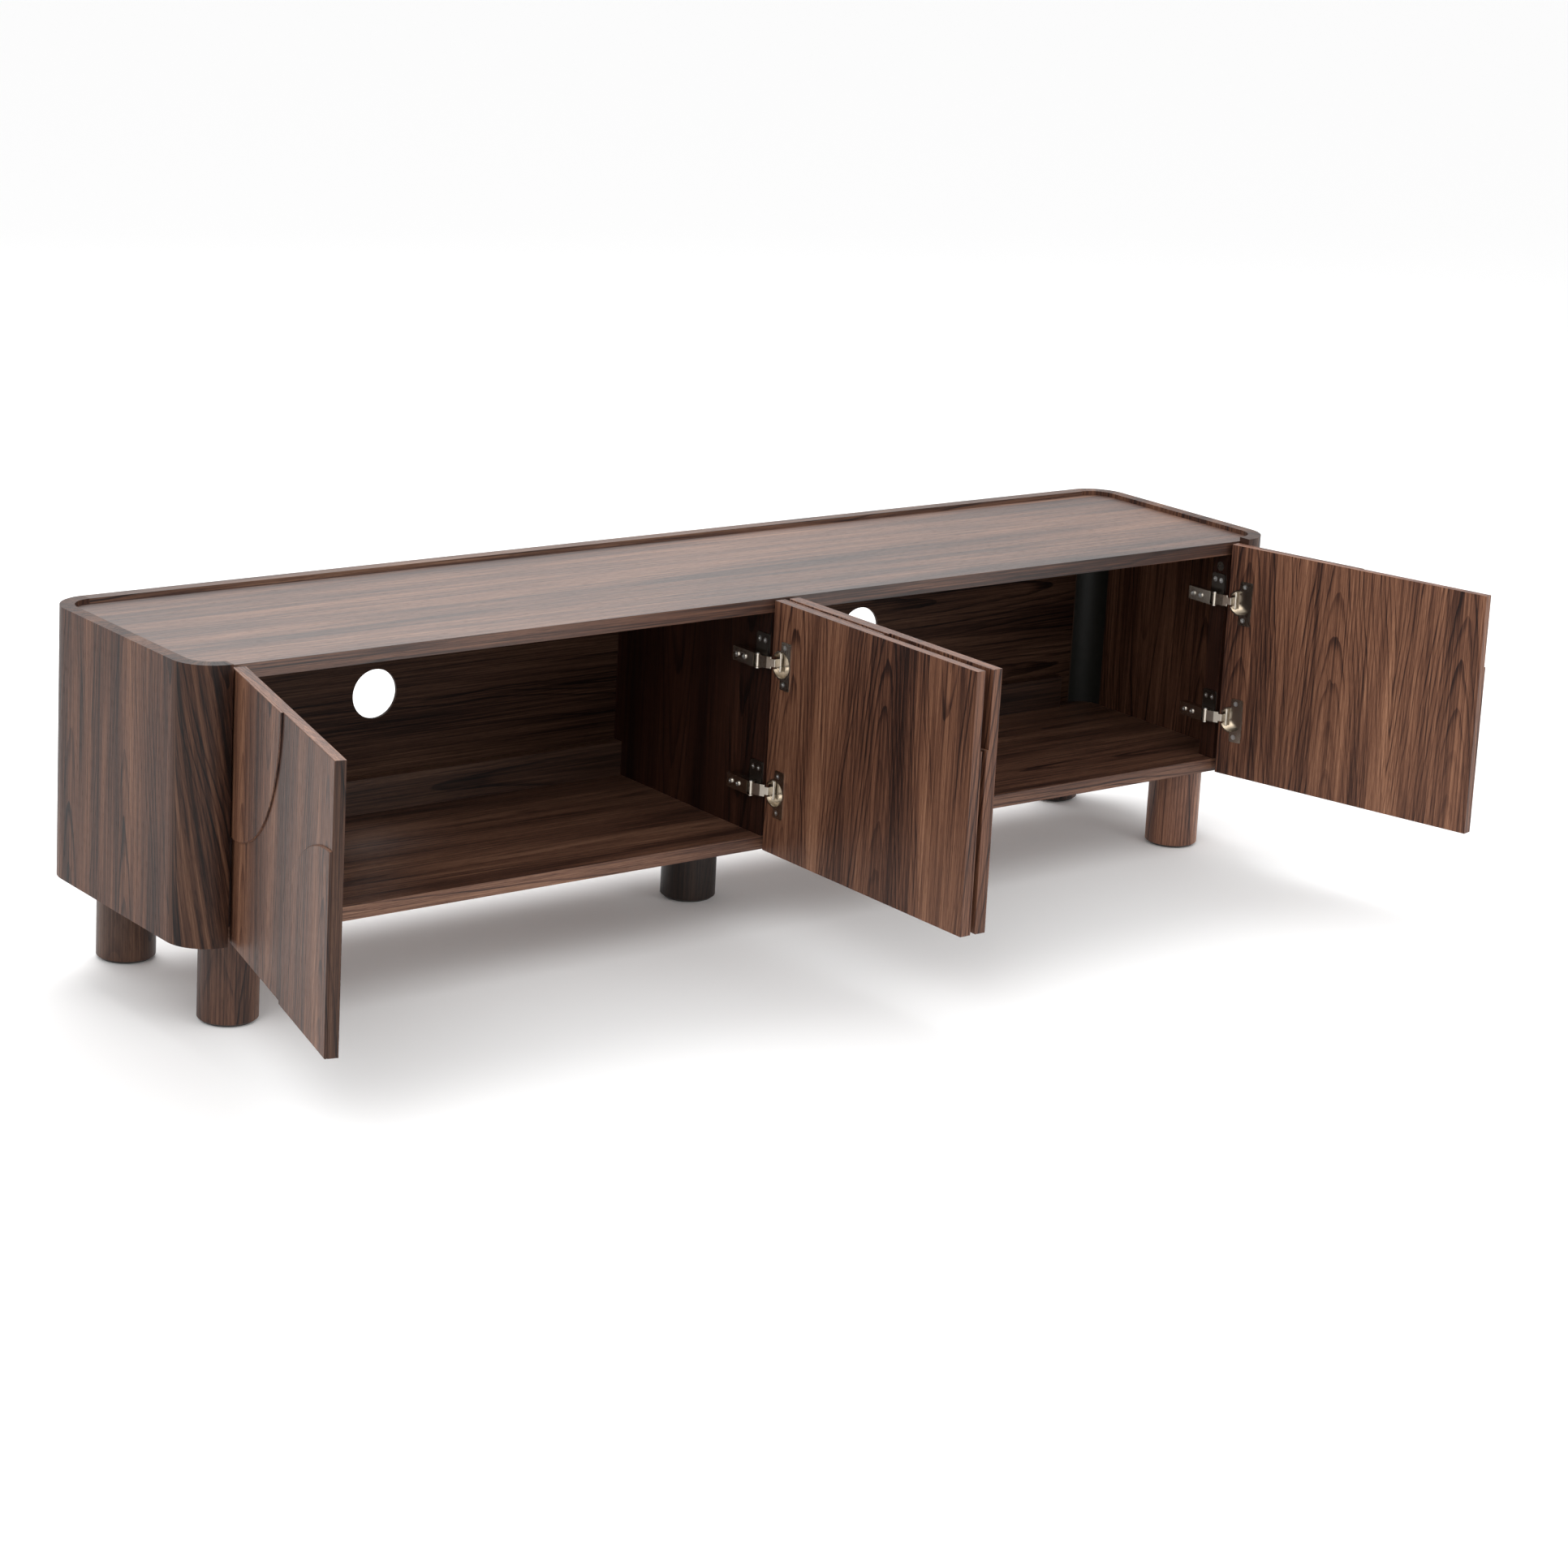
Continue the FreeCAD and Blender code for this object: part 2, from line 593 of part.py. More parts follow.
def hung(shape, number):
    """From the local frame of a door hung on its left to the cabinet."""
    side, edge_x, _ = DOORS[number]
    placed = shape if side > 0 else mirrored(shape)
    return moved(placed, edge_x, FRONT, 0)


def plate_screw_holes():
    holes = []
    for number in DOORS:
        for place in plate_screw_places():
            hole = aimed(screw_hole(*PLATE_SCREW), place, (-1, 0, 0))
            holes.extend(hung(part, number) for part in at_both_hinges([hole]))
    return holes


def door_nodes(number):
    angle = DOORS[number][2]
    name = "door_%d_" % number

    def opened(solids):
        return [hung(door_opened(solid, angle), number) for solid in solids]

    links = [hung(link_opened(solid, angle), number) for solid in at_both_hinges([hinge_link()])]
    return {
        name + "board": opened([door_board()]),
        name + "corner_relief": opened([corner_overlay()]),
        name + "edge_relief": opened([edge_overlay()]),
        name + "hinge_cups": opened(at_both_hinges([hinge_cup()])),
        name + "cup_pins": opened(at_both_hinges([cup_pin()])),
        name + "cup_screws": opened(at_both_hinges(cup_screws())),
        name + "links": links,
    }


def fixed_hinge_nodes():
    makers = {
        "hinge_plates": [hinge_plate()],
        "hinge_arms": [hinge_arm()],
        "hinge_arm_pins": [arm_pin()],
        "hinge_plate_screws": plate_screws(),
        "hinge_arm_screws": arm_screws(),
    }
    nodes = {}
    for name, solids in makers.items():
        nodes[name] = [hung(part, number) for number in DOORS for part in at_both_hinges(solids)]
    return nodes


def leg_nodes():
    nodes = {name: [moved(leg(), x, y, 0)] for name, (x, y) in leg_places().items()}
    spots = leg_places().values()
    nodes["leg_glides"] = [moved(leg_glide(), x, y, 0) for x, y in spots]
    nodes["leg_plates"] = [moved(leg_plate(), x, y, 0) for x, y in spots]
    nodes["leg_bolts"] = [moved(leg_bolt(), x, y, 0) for x, y in spots]
    nodes["leg_plate_screws"] = [aimed(screw(*LEG_SCREW), place, (0, 0, 1)) for place in leg_screw_places()]
    holes = [aimed(screw_hole(*LEG_SCREW), place, (0, 0, 1)) for place in leg_screw_places()]
    nodes["leg_plates"] = [drilled(plate, holes) for plate in nodes["leg_plates"]]
    return nodes


def case_nodes():
    bolt_holes = [bolt_bore(x, y) for x, y in leg_places().values()]
    screw_holes = [aimed(screw_hole(*LEG_SCREW), place, (0, 0, 1)) for place in leg_screw_places()]
    back_holes = [aimed(screw_hole(*BACK_SCREW), place, (0, -1, 0)) for place in back_screw_places()]
    rail_holes = [aimed(screw_hole(*RAIL_SCREW), place, (0, -1, 0)) for place in rail_screw_places()]
    cam_holes = [cam_hole(*place) for place in cam_places()]
    panel_bolts = [cam_bolt_hole(*place) for place in cam_places()]
    boards = {
        "shell_right": shell_right(),
        "shell_left": mirrored(shell_right()),
        "back_cleat_right": back_cleat_right(),
        "back_cleat_left": mirrored(back_cleat_right()),
        "hinge_strip_right": drilled(hinge_strip_right(), cam_holes + plate_screw_holes()),
        "hinge_strip_left": drilled(mirrored(hinge_strip_right()), cam_holes + plate_screw_holes()),
        "centre_divider": drilled(centre_divider(), cam_holes + plate_screw_holes() + back_holes),
        "top_panel": drilled(panel(INSIDE_TOP, CASE_TOP), rail_holes + panel_bolts),
        "bottom_panel": drilled(panel(CASE_BOTTOM, INSIDE_BOTTOM),
                                bolt_holes + screw_holes + back_holes + panel_bolts),
        "back_panel": drilled(back_panel(), back_holes),
        "back_rail": drilled(back_rail(), rail_holes),
    }
    nodes = {name: [shape] for name, shape in boards.items()}
    nodes["back_screws"] = [aimed(screw(*BACK_SCREW), place, (0, -1, 0)) for place in back_screw_places()]
    nodes["rail_screws"] = [aimed(screw(*RAIL_SCREW), place, (0, -1, 0)) for place in rail_screw_places()]
    nodes["cam_locks"] = [cam(*place[:4]) for place in cam_places()]
    nodes["cam_bolts"] = [cam_bolt(*place) for place in cam_places()]
    return nodes


def write(name, solids):
    shape = solids[0] if len(solids) == 1 else Part.makeCompound(solids)
    shape.exportStep(os.path.join("parts", name + ".step"))


def main():
    os.makedirs("parts", exist_ok=True)
    nodes = case_nodes()
    nodes.update(leg_nodes())
    nodes.update(fixed_hinge_nodes())
    for number in DOORS:
        nodes.update(door_nodes(number))
    for name, solids in nodes.items():
        write(name, solids)


main()
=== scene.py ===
import json
import math

import bpy
from mathutils import Euler, Matrix, Vector


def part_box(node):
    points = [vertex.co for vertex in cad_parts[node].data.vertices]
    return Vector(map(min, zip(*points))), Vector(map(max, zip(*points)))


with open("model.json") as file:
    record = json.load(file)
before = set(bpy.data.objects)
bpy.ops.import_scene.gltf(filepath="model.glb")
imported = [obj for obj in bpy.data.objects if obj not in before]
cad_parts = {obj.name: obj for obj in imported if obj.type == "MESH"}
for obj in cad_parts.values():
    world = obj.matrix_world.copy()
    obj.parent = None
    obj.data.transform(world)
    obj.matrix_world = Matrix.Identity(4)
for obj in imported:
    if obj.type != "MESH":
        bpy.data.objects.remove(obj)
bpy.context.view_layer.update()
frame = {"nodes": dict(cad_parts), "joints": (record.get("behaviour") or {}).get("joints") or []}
NODES = frame["nodes"]

# ---------------------------------------------------------------- sizes, in metres

SHELL_LOW, SHELL_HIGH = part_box("shell_right")
_, TOP_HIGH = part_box("top_panel")
CORNER_R = 0.050                # outer radius of the curved ends' bends
CORNER_X = SHELL_HIGH.x - CORNER_R
HALF_WIDTH = SHELL_HIGH.x

SHELL_BEVEL = 0.0007
PANEL_BEVEL = 0.0006
DOOR_BEVEL = 0.0005
METAL_BEVEL = 0.0004
THIN_BEVEL = 0.0003
BEVEL_SEGMENTS = 2
BEVEL_ANGLE = math.radians(35.0)
SHARP_ANGLE = math.radians(28)

# ---------------------------------------------------------------- figure of the veneer

# Linear colours, from the late-wood lines to the palest early wood.
WALNUT = (
    (0.00, (0.010, 0.004, 0.003)),
    (0.20, (0.034, 0.014, 0.009)),
    (0.45, (0.095, 0.043, 0.026)),
    (0.70, (0.165, 0.083, 0.050)),
    (1.00, (0.270, 0.150, 0.095)),
)

# Noise drawn out along the grain: per metre across, per metre along, scale, detail, roughness.
SWAY = (2.0, 1.3, 1.6, 2.0, 0.5)
WOBBLE = (14.0, 3.0, 2.2, 3.0, 0.55)
PATCH = (45.0, 1.5, 1.4, 3.0, 0.6)
BROAD = (16.0, 0.9, 1.3, 3.0, 0.6)
STREAKS = (75.0, 1.6, 1.6, 6.0, 0.78)
STRANDS = (460.0, 5.0, 1.0, 2.0, 0.6)
FIBRE = (900.0, 26.0, 1.0, 3.0, 0.6)
PORES = (1300.0, 70.0, 1.0, 1.0, 0.4)
BOLD = (85.0, 0.5, 1.0, 2.0, 0.5)

# Growth rings
SWAY_REACH = 0.040              # how far the figure wanders sideways
WOBBLE_REACH = 0.009
LEAF_START = 10.0               # keeps the leaves' numbers positive
LEAF_STEP = 0.37                # how far each seed shifts the joints between leaves
HEART_FROM = 0.30               # the heart lies this share of a leaf's width in, or more
HEART_SPREAD = 0.4
DOWNWARD = 0.4                  # share of the leaves whose arches point down
TAPER = 0.6                     # how fast the rings close along the grain
TIP = 0.00030                   # rounds the tips of the arches
RINGS_PER_M = 150.0

# Shares of each layer in the veneer's brightness
MIDDLE = 0.46
BROAD_SHARE = 1.25
STREAK_SHARE = 1.00
STRAND_SHARE = 1.05
RING_SHARE = 0.46
LEAF_SHARE = 0.12
FIBRE_SHARE = 0.35
PORE_SHARE = 0.22

# Front bend of a curved end: its stripes lean and are bolder, and it is painted darker as shade.
BEND_START = 0.012
BEND_LEAN = -0.17
BEND_BOLD = 2.1
BEND_SHADE = 0.40

# ---------------------------------------------------------------- shader helpers


def opaque(color, share=1.0):
    return (*(part * share for part in color), 1.0)


class Maker:
    """Adds nodes to a material with plain arithmetic between sockets."""

    def __init__(self, material):
        self.nodes = material.node_tree.nodes
        self.links = material.node_tree.links

    def put(self, socket, value):
        if isinstance(value, (int, float, tuple)):
            socket.default_value = value
        else:
            self.links.new(value, socket)

    def math(self, operation, a, b=0.0):
        node = self.nodes.new("ShaderNodeMath")
        node.operation = operation
        self.put(node.inputs[0], a)
        self.put(node.inputs[1], b)
        return node.outputs[0]

    def add(self, a, b):
        return self.math("ADD", a, b)

    def sub(self, a, b):
        return self.math("SUBTRACT", a, b)

    def mul(self, a, b):
        return self.math("MULTIPLY", a, b)

    def above(self, value, least=0.0):
        return self.math("MAXIMUM", value, least)

    def below(self, value, most=1.0):
        return self.math("MINIMUM", value, most)

    def centred(self, value, share):
        """A value from 0 to 1 as a swing about zero."""
        return self.mul(self.sub(value, 0.5), share)

    def facing(self, part):
        """1 where that part of the normal is long, whichever way it points."""
        return self.smooth(self.math("ABSOLUTE", part), 0.6, 0.8)

    def smooth(self, value, low, high):
        node = self.nodes.new("ShaderNodeMapRange")
        node.interpolation_type = "SMOOTHSTEP"
        self.put(node.inputs["Value"], value)
        self.put(node.inputs["From Min"], low)
        self.put(node.inputs["From Max"], high)
        return node.outputs[0]

    def noise(self, vector, scale, detail, rough):
        node = self.nodes.new("ShaderNodeTexNoise")
        node.inputs["Scale"].default_value = scale
        node.inputs["Detail"].default_value = detail
        node.inputs["Roughness"].default_value = rough
        self.links.new(vector, node.inputs["Vector"])
        return node.outputs["Fac"]

    def flat_grain(self, kind, across, along, seed):
        """Drawn-out noise that is the same all through the board."""
        fine, long, *shape = kind
        return self.noise(self.join(self.mul(across, fine), seed, self.mul(along, long)), *shape)

    def deep_grain(self, kind, across, along, depth):
        """Drawn-out noise that also changes through the board."""
        fine, long, *shape = kind
        spot = self.join(self.mul(across, fine), self.mul(depth, fine), self.mul(along, long))
        return self.noise(spot, *shape)

    def white(self, vector):
        node = self.nodes.new("ShaderNodeTexWhiteNoise")
        node.noise_dimensions = "3D"
        self.links.new(vector, node.inputs["Vector"])
        return node.outputs["Value"]

    def split(self, vector):
        node = self.nodes.new("ShaderNodeSeparateXYZ")
        self.links.new(vector, node.inputs[0])
        return node.outputs

    def join(self, x, y, z):
        node = self.nodes.new("ShaderNodeCombineXYZ")
        for socket, value in zip(node.inputs, (x, y, z)):
            self.put(socket, value)
        return node.outputs[0]

    def mapped(self, vector, scale=(1, 1, 1), turn=0.0):
        node = self.nodes.new("ShaderNodeMapping")
        node.inputs["Rotation"].default_value = (0, 0, turn)
        node.inputs["Scale"].default_value = scale
        self.links.new(vector, node.inputs["Vector"])
        return node.outputs[0]

    def ramp(self, value, stops):
        node = self.nodes.new("ShaderNodeValToRGB")
        points = node.color_ramp.elements
        while len(points) < len(stops):
            points.new(0.5)
        for point, (place, color) in zip(points, stops):
            point.position = place
            point.color = opaque(color)
        self.put(node.inputs[0], value)
        return node.outputs["Color"]

    def mix(self, factor, a, b, blend="MIX"):
        node = self.nodes.new("ShaderNodeMix")
        node.data_type = "RGBA"
        node.blend_type = blend
        self.put(node.inputs["Factor"], factor)
        self.put(node.inputs["A"], a)
        self.put(node.inputs["B"], b)
        return node.outputs["Result"]

    def blend(self, factor, a, b):
        """Plain number between a and b."""
        return self.add(a, self.mul(self.sub(b, a), factor))

    def scaled(self, factor, color):
        """Colour made of a fixed tint times a number."""
        return self.join(*(self.mul(factor, part) for part in color))

    def bump(self, height, strength, distance):
        node = self.nodes.new("ShaderNodeBump")
        node.inputs["Strength"].default_value = strength
        node.inputs["Distance"].default_value = distance
        self.links.new(height, node.inputs["Height"])
        return node.outputs[0]

    def position(self):
        return self.nodes.new("ShaderNodeTexCoord").outputs["Object"]

    def normal(self):
        return self.nodes.new("ShaderNodeTexCoord").outputs["Normal"]


def new_material(name):
    material = bpy.data.materials.new(name)
    material.use_nodes = True
    maker = Maker(material)
    return material, maker, maker.nodes["Principled BSDF"]


# ---------------------------------------------------------------- walnut


def walnut_rings(m, across, along, seed, leaf, arch):
    """Growth rings of flat-cut veneer: dark ring lines, their local strength, the leaf's shade.

    Each leaf cuts the tapering rings at its own place, so they show as open nested arches
    near its heart and as near-straight lines towards its edges."""
    across = m.add(across, m.centred(m.flat_grain(SWAY, across, along, seed), SWAY_REACH))
    place = m.math("DIVIDE", m.add(across, LEAF_START + seed * LEAF_STEP), leaf)
    cell = m.math("FLOOR", place)
    shade = m.white(m.join(cell, seed, 3.7))
    chance = m.white(m.join(cell, seed + 5.1, 1.3))
    heart = m.add(HEART_FROM, m.mul(shade, HEART_SPREAD))
    off_heart = m.mul(m.sub(m.sub(place, cell), heart), leaf)
    upward = m.sub(m.mul(m.math("GREATER_THAN", chance, DOWNWARD), 2.0), 1.0)
    taper = m.mul(m.mul(along, upward), arch * TAPER)
    ring = m.add(m.math("SQRT", m.add(m.mul(off_heart, off_heart), TIP)), taper)
    ring = m.add(ring, m.centred(m.flat_grain(WOBBLE, across, along, seed), WOBBLE_REACH))
    wave = m.math("FRACT", m.mul(ring, RINGS_PER_M))
    line = m.mul(m.smooth(wave, 0.52, 0.94), m.smooth(wave, 1.0, 0.96))
    patch = m.flat_grain(PATCH, ring, along, seed)
    return line, m.smooth(patch, 0.38, 0.70), shade


def walnut_height(m, across, along, depth, seed, leaf, arch, contrast):
    """Brightness of the veneer from 0 to 1, with its fibres and pores."""
    line, strength, shade = walnut_rings(m, across, along, seed, leaf, arch)
    broad = m.flat_grain(BROAD, across, along, seed)
    streaks = m.deep_grain(STREAKS, across, along, depth)
    strands = m.deep_grain(STRANDS, across, along, depth)
    fibre = m.deep_grain(FIBRE, across, along, depth)
    pores = m.smooth(m.deep_grain(PORES, across, along, depth), 0.34, 0.46)

    value = m.add(MIDDLE, m.centred(broad, BROAD_SHARE * contrast))
    value = m.add(value, m.centred(streaks, STREAK_SHARE * contrast))
    value = m.add(value, m.centred(strands, STRAND_SHARE * contrast))
    value = m.sub(value, m.mul(m.mul(line, strength), RING_SHARE * contrast))
    value = m.add(value, m.centred(shade, LEAF_SHARE * contrast))
    value = m.add(value, m.centred(fibre, FIBRE_SHARE))
    value = m.mul(value, m.add(1.0 - PORE_SHARE, m.mul(pores, PORE_SHARE)))
    return m.below(m.above(value)), fibre, pores


def finish_walnut(m, shader, value, fibre, pores, tone, rough, gloss):
    """Satin lacquer over open pores, with the veneer's colour under it. Returns the colour."""
    color = m.mix(1.0, m.ramp(value, WALNUT), tone, "MULTIPLY")
    m.put(shader.inputs["Base Color"], color)
    wear_and_highlight = m.noise(m.position(), 6.0, 3.0, 0.6)
    grain_shine = m.add(rough - 0.06, m.mul(fibre, 0.10))
    pore_shine = m.add(m.mul(m.sub(1.0, pores), 0.10), m.mul(wear_and_highlight, 0.06))
    m.put(shader.inputs["Roughness"], m.add(grain_shine, pore_shine))
    shader.inputs["Specular IOR Level"].default_value = gloss
    relief = m.add(m.mul(pores, 0.7), m.mul(fibre, 0.3))
    m.put(shader.inputs["Normal"], m.bump(relief, 0.25, 0.00025))
    return color


def walnut(name, grain="z", turn=0.0, seed=0.0, leaf=0.16, arch=0.16, tone=1.0,
           tint=(1.0, 1.0, 1.0), contrast=1.0, rough=0.42, gloss=0.36, end_shade=1.0, top_light=1.0):
    """Walnut veneer under satin lacquer. grain is the axis it runs along, and turn is the
    angle about Z, in radians, of a panel that stands open. top_light multiplies the tone of
    faces that point up or down, as painted light. Where the grain is upright, end_shade does so on
    end faces, as painted shade."""
    material, m, shader = new_material(name)
    spot, face = m.position(), m.normal()
    if turn:
        spot, face = m.mapped(spot, turn=-turn), m.mapped(face, turn=-turn)
    x, y, z = m.split(spot)
    nx, _, nz = m.split(face)
    level = m.facing(nz)
    # Painted light: faces that point up or down get their tone multiplied.
    shade = m.add(1.0, m.mul(level, top_light - 1.0))
    if grain == "z":
        # Painted shade: end faces get their tone multiplied.
        shade = m.mul(shade, m.add(1.0, m.mul(m.facing(nx), end_shade - 1.0)))
        across = m.blend(level, m.add(x, m.mul(y, 0.83)), m.mul(y, 1.7))
        along = m.blend(level, z, x)
        depth = m.sub(y, m.mul(x, 0.2))
    else:
        across, along, depth = m.add(y, m.mul(z, 0.9)), x, z
    value, fibre, pores = walnut_height(m, across, along, depth, seed, leaf, arch, contrast)
    tone_color = m.scaled(shade, tuple(tone * part for part in tint))
    finish_walnut(m, shader, value, fibre, pores, tone_color, rough, gloss)
    return material


def shell_walnut(name, side, seed, tone, tint):
    """Upright veneer wrapped round a curved end. Distances across the grain follow the bend;
    on the front bend the stripes lean. Inside, the rear bend is bare dark board."""
    material, m, shader = new_material(name)
    x, y, z = m.split(m.position())
    nx, _, _ = m.split(m.normal())
    out = m.mul(x, float(side))
    front, rear = SHELL_LOW.y + CORNER_R, SHELL_HIGH.y - CORNER_R
    ahead = m.above(m.sub(front, y))
    behind = m.above(m.sub(y, rear))
    past = m.above(m.sub(out, CORNER_X), 0.0001)
    inward = m.above(m.sub(CORNER_X, out))
    flat = m.below(m.above(y, front), rear)
    bend_front = m.add(m.mul(m.math("ARCTAN2", ahead, past), CORNER_R), inward)
    bend_rear = m.mul(m.math("ARCTAN2", behind, past), CORNER_R)
    on_front = m.smooth(ahead, 0.0, BEND_START)
    across = m.add(m.sub(flat, m.mul(bend_front, on_front)), bend_rear)
    across = m.add(across, m.mul(m.mul(z, on_front), BEND_LEAN))
    value, fibre, pores = walnut_height(m, across, z, m.mul(out, 0.2), seed, 0.13, 0.12, 1.0)
    bold = m.flat_grain(BOLD, across, z, seed)
    striped = m.add(value, m.mul(m.mul(m.sub(bold, 0.5), on_front), BEND_BOLD))
    striped = m.below(m.above(striped))
    # Painted shade: the front bend is made darker.
    shade = m.sub(1.0, m.mul(on_front, BEND_SHADE))
    tone_color = m.scaled(shade, tuple(tone * part for part in tint))
    veneer = finish_walnut(m, shader, striped, fibre, pores, tone_color, 0.44, 0.22)

    hidden_side = m.smooth(m.mul(nx, -float(side)), 0.02, 0.10)
    corner = m.smooth(y, rear - 0.004, rear - 0.002)
    below_rim = m.smooth(z, TOP_HIGH.z, TOP_HIGH.z - 0.001)
    inner = m.smooth(out, HALF_WIDTH - 0.010, HALF_WIDTH - 0.014)
    bare = m.mul(m.mul(m.mul(hidden_side, corner), inner), below_rim)
    cloud = m.noise(m.position(), 60.0, 3.0, 0.6)
    dull = m.mix(cloud, opaque((0.013, 0.013, 0.011)), opaque((0.022, 0.022, 0.019)))
    m.put(shader.inputs["Base Color"], m.mix(bare, veneer, dull))
    return material


# ---------------------------------------------------------------- metal and small parts


def plated(name, color, rough, brushed=0.0):
    """Plated steel with faint cloudiness and fine scratches."""
    material, m, shader = new_material(name)
    spot = m.position()
    cloud = m.noise(spot, 90.0, 4.0, 0.6)
    scratch = m.noise(m.mapped(spot, scale=(300, 2600, 300)), 1.0, 3.0, 0.6)
    m.put(shader.inputs["Base Color"], m.mix(m.mul(cloud, 0.5), opaque(color), opaque(color, 0.78)))
    shader.inputs["Metallic"].default_value = 1.0
    uneven = m.add(m.mul(cloud, 0.06), m.mul(scratch, 0.08 + brushed))
    m.put(shader.inputs["Roughness"], m.add(rough, uneven))
    m.put(shader.inputs["Normal"], m.bump(m.add(m.mul(scratch, 0.5), cloud), 0.08, 0.0001))
    return material


def painted(name, color, rough):
    """Paint with a faint orange peel."""
    material, m, shader = new_material(name)
    peel = m.noise(m.position(), 700.0, 2.0, 0.5)
    m.put(shader.inputs["Base Color"], m.mix(peel, opaque(color), opaque(color, 1.3)))
    m.put(shader.inputs["Roughness"], m.add(rough, m.mul(peel, 0.1)))
    m.put(shader.inputs["Normal"], m.bump(peel, 0.15, 0.0002))
    return material


def felt(name, color):
    """Pressed felt, clumped and fuzzy."""
    material, m, shader = new_material(name)
    spot = m.position()
    fuzz = m.noise(spot, 2400.0, 4.0, 0.7)
    clump = m.noise(spot, 260.0, 3.0, 0.6)
    tone = m.add(m.mul(fuzz, 0.6), m.mul(clump, 0.4))
    m.put(shader.inputs["Base Color"], m.mix(tone, opaque(color, 0.5), opaque(color)))
    shader.inputs["Roughness"].default_value = 0.95
    shader.inputs["Sheen Weight"].default_value = 0.4
    m.put(shader.inputs["Normal"], m.bump(fuzz, 0.6, 0.0006))
    return material


# ---------------------------------------------------------------- painting the frame


def dress(node, material, bevel=0.0, wear_and_highlight=None):
    """Gives a CAD node its material, smooth shading and softened edges, with a paler material on
    the bevels as a painted highlight.
    """
    piece = NODES[node]
    piece.data.materials.clear()
    piece.data.materials.append(material)
    for polygon in piece.data.polygons:
        polygon.use_smooth = True
    piece.data.set_sharp_from_angle(angle=SHARP_ANGLE)
    if bevel:
        soften = piece.modifiers.new("soften", "BEVEL")
        soften.width = bevel
        soften.segments = BEVEL_SEGMENTS
        soften.limit_method = "ANGLE"
        soften.angle_limit = BEVEL_ANGLE
        soften.harden_normals = True
        # The bevels take the paler second material: a painted highlight along the edges.
        if wear_and_highlight:
            piece.data.materials.append(wear_and_highlight)
            soften.material = 1


def door_turn(number):
    """Angle about Z of the open door's face, from the ranges of its two joints."""
    side = 1 if number in (1, 3) else -1
    ranges = {joint["name"]: joint["range_deg"] for joint in frame["joints"]}
    open_angle = ranges["door_%d_swing" % number][1] + ranges["link_%d_turn" % number][0]
    return math.radians(-side * open_angle)


# Paler walnut for the softened edges: a painted highlight along them.
painted_edge_highlight = walnut("painted_edge_highlight", "x", seed=40.0, leaf=0.12, arch=0.05, tone=1.7, contrast=0.5)
painted_inside_highlight = walnut("painted_inside_highlight", "x", seed=41.0, leaf=0.12, arch=0.05, tone=0.9, contrast=0.5)
steel = plated("nickel", (0.62, 0.56, 0.48), 0.17)
# A darker copy of the nickel: painted shade.
shaded_steel = plated("nickel_painted_shade", (0.20, 0.18, 0.16), 0.24, brushed=0.06)
zinc = plated("zinc", (0.80, 0.80, 0.79), 0.20, brushed=0.05)

# The shells' tone is matched to how bright they look under the light, so it holds painted shade as
# well as the walnut's own colour.
for side, name in ((-1, "shell_left"), (1, "shell_right")):
    veneer = shell_walnut(name + "_veneer", side, 3.0 + side, 0.74, (1.05, 0.94, 0.87))
    dress(name, veneer, SHELL_BEVEL, painted_edge_highlight)

# These tones are matched to how bright each piece looks under the light, so they hold painted light
# and shade as well as the walnut's own colour.
top = walnut("top_veneer", "x", seed=1.0, leaf=0.17, arch=0.05, tone=1.05, tint=(1.0, 0.97, 0.94),
             rough=0.40, gloss=0.6)
base = walnut("floor_veneer", "x", seed=6.0, leaf=0.15, arch=0.06, tone=1.15)
back = walnut("back_veneer", "x", seed=9.0, leaf=0.14, arch=0.05, tone=0.42, gloss=0.10)
rail = walnut("rail_veneer", "x", seed=9.0, leaf=0.14, arch=0.05, tone=0.92)
inside = walnut("inside_veneer", "x", seed=9.5, leaf=0.14, arch=0.05, tone=0.46, top_light=1.6)
upright = walnut("upright_veneer", "z", seed=12.0, leaf=0.12, arch=0.10, tone=0.25,
                 tint=(1.25, 0.90, 0.80))
dress("top_panel", top, PANEL_BEVEL, painted_edge_highlight)
dress("bottom_panel", base, PANEL_BEVEL, painted_edge_highlight)
dress("back_panel", back, PANEL_BEVEL)
dress("back_rail", rail, PANEL_BEVEL, painted_edge_highlight)
for node in ("back_cleat_left", "back_cleat_right"):
    dress(node, inside, SHELL_BEVEL, painted_inside_highlight)
for node in ("centre_divider", "hinge_strip_left", "hinge_strip_right"):
    dress(node, upright, PANEL_BEVEL)

# Each leg's tone is painted light and shade: the same walnut, paler where light falls and darker
# where the leg is shaded.
LEG_PAINTED_LIGHT = {"leg_front_left": 0.74, "leg_rear_left": 0.46, "leg_centre": 0.15,
             "leg_front_right": 1.60, "leg_rear_right": 0.60}
for index, (leg, tone) in enumerate(LEG_PAINTED_LIGHT.items()):
    dress(leg, walnut(leg + "_veneer", "z", seed=20.0 + index, leaf=0.11, arch=0.22, tone=tone,
                      tint=(1.03, 0.97, 0.93)))
dress("leg_glides", felt("felt", (0.05, 0.045, 0.04)))
dress("leg_plates", painted("black_plate", (0.02, 0.02, 0.02), 0.5), THIN_BEVEL)
for node in ("leg_bolts", "leg_plate_screws", "back_screws", "rail_screws", "cam_bolts",
             "hinge_plate_screws", "hinge_arm_screws", "hinge_arm_pins"):
    dress(node, zinc)
dress("hinge_plates", shaded_steel, METAL_BEVEL)
dress("cam_locks", shaded_steel)
dress("hinge_arms", steel, METAL_BEVEL)

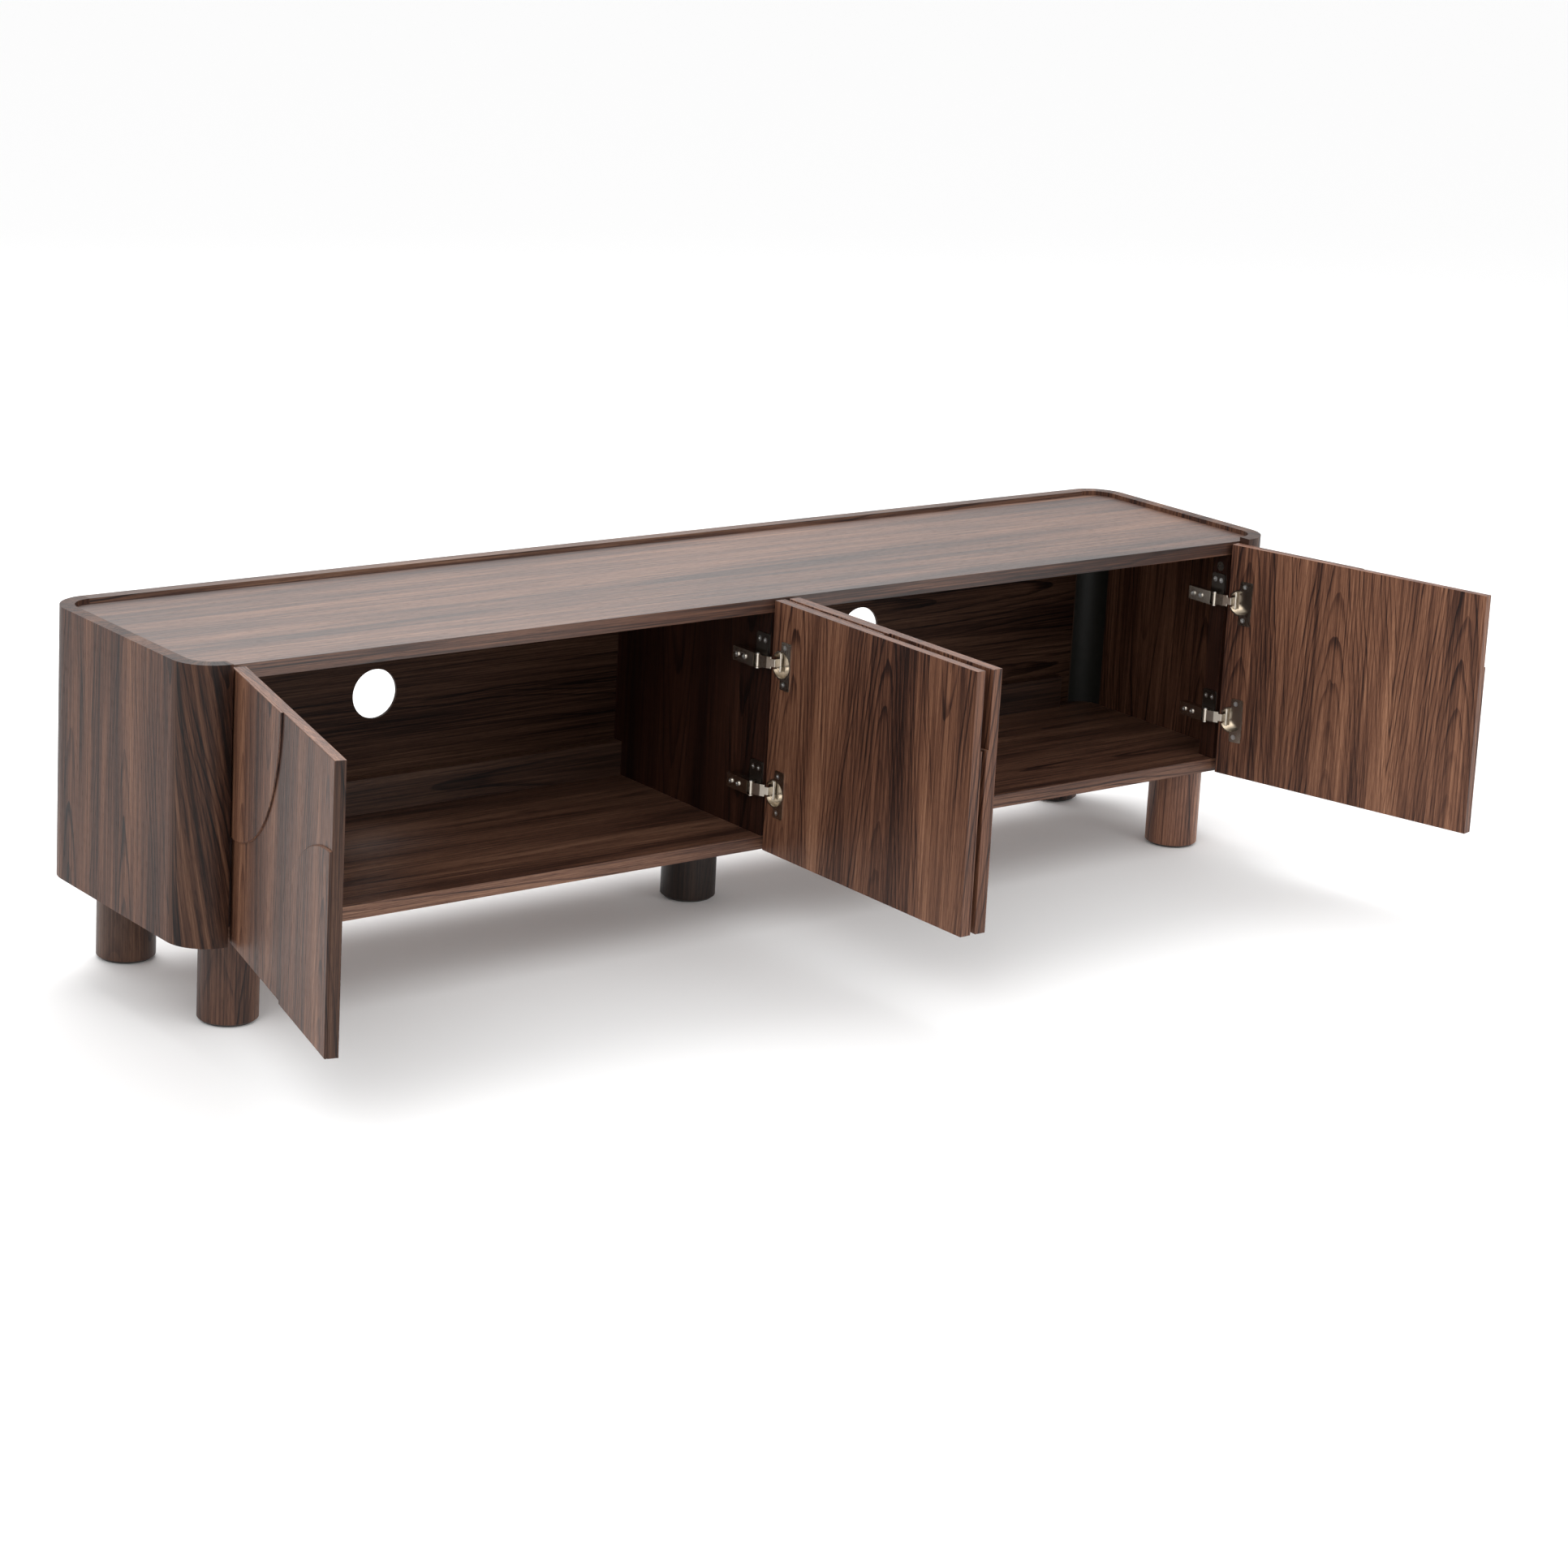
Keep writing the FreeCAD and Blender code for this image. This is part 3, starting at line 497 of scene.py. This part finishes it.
# Each door's tone, paler or darker as painted light for how the light falls on it, and the painted
# shade that its end faces' tone is multiplied by.
DOOR_PAINTED_LIGHT = {1: (0.95, 0.42), 2: (1.18, 1.0), 3: (1.18, 1.0), 4: (1.44, 0.9)}
for number, (tone, end_shade) in DOOR_PAINTED_LIGHT.items():
    face = walnut("door_%d_veneer" % number, "z", turn=door_turn(number), seed=30.0 + number * 3.0,
                  leaf=0.16, arch=0.17, tone=tone, tint=(1.03, 0.95, 0.88), gloss=0.28,
                  end_shade=end_shade, top_light=1.35)
    pre = "door_%d_" % number
    dress(pre + "board", face, DOOR_BEVEL, painted_edge_highlight)
    dress(pre + "corner_relief", face, THIN_BEVEL, painted_edge_highlight)
    dress(pre + "edge_relief", face, THIN_BEVEL, painted_edge_highlight)
    dress(pre + "hinge_cups", steel, THIN_BEVEL)
    dress(pre + "links", steel, METAL_BEVEL)
    dress(pre + "cup_pins", zinc)
    dress(pre + "cup_screws", zinc)

# ---------------------------------------------------------------- floor, light and camera

FLOOR_REACH = 30.0
FLOOR_DROP = 0.0005             # keeps the floor clear of the legs' undersides
FLOOR_PALE = 0.97

# Lamp, its place, what it points at, its width and height, its power in watts.
LAMPS = (
    ("key", (-3.2, -2.4, 3.0), (0, 0, 0.2), (2.4, 2.0), 45),
    ("overhead", (0.6, 2.2, 3.2), (0, 0, 0.4), (3.6, 1.8), 100),
    ("front", (1.5, -4.2, 1.6), (0, 0, 0.3), (2.5, 1.6), 35),
)

CAMERA_PLACE = (-2.804, -3.764, 1.512)
CAMERA_HEADING = 0.6623
CAMERA_PITCH = -0.2173
CAMERA_ROLL = 0.0539
CAMERA_LENS = 84.97
CAMERA_SENSOR = 36.0
CAMERA_SHIFT_Y = -0.150


def floor():
    mesh = bpy.data.meshes.new("floor")
    far = FLOOR_REACH
    corners = [(-far, -far, 0), (far, -far, 0), (far, far, 0), (-far, far, 0)]
    mesh.from_pydata(corners, [], [(0, 1, 2, 3)])
    plane = bpy.data.objects.new("floor", mesh)
    plane.location.z = -FLOOR_DROP
    bpy.context.scene.collection.objects.link(plane)
    material, _, shader = new_material("pale_floor")
    shader.inputs["Base Color"].default_value = opaque((FLOOR_PALE,) * 3)
    shader.inputs["Roughness"].default_value = 0.9
    mesh.materials.append(material)


def soft_box(name, place, target, size, power):
    lamp = bpy.data.lights.new(name, "AREA")
    lamp.shape = "RECTANGLE"
    lamp.size, lamp.size_y = size
    lamp.energy = power
    holder = bpy.data.objects.new(name, lamp)
    holder.location = place
    aim = Vector(target) - Vector(place)
    holder.rotation_euler = aim.to_track_quat("-Z", "Y").to_euler()
    bpy.context.scene.collection.objects.link(holder)


def studio():
    world = bpy.data.worlds.new("studio")
    bpy.context.scene.world = world
    world.use_nodes = True
    backdrop = world.node_tree.nodes["Background"]
    backdrop.inputs["Color"].default_value = (1.0, 1.0, 1.0, 1.0)
    backdrop.inputs["Strength"].default_value = 1.0
    for lamp in LAMPS:
        soft_box(*lamp)
    bpy.context.scene.view_settings.view_transform = "Standard"


def camera():
    data = bpy.data.cameras.new("camera")
    data.sensor_width = CAMERA_SENSOR
    data.lens = CAMERA_LENS
    data.shift_y = CAMERA_SHIFT_Y
    holder = bpy.data.objects.new("camera", data)
    level_turn = Euler((math.pi / 2 + CAMERA_PITCH, 0, -CAMERA_HEADING)).to_matrix()
    roll = Matrix.Rotation(CAMERA_ROLL, 3, "Z")
    holder.matrix_world = Matrix.Translation(CAMERA_PLACE) @ (level_turn @ roll).to_4x4()
    bpy.context.scene.collection.objects.link(holder)
    bpy.context.scene.camera = holder


floor()
studio()
camera()
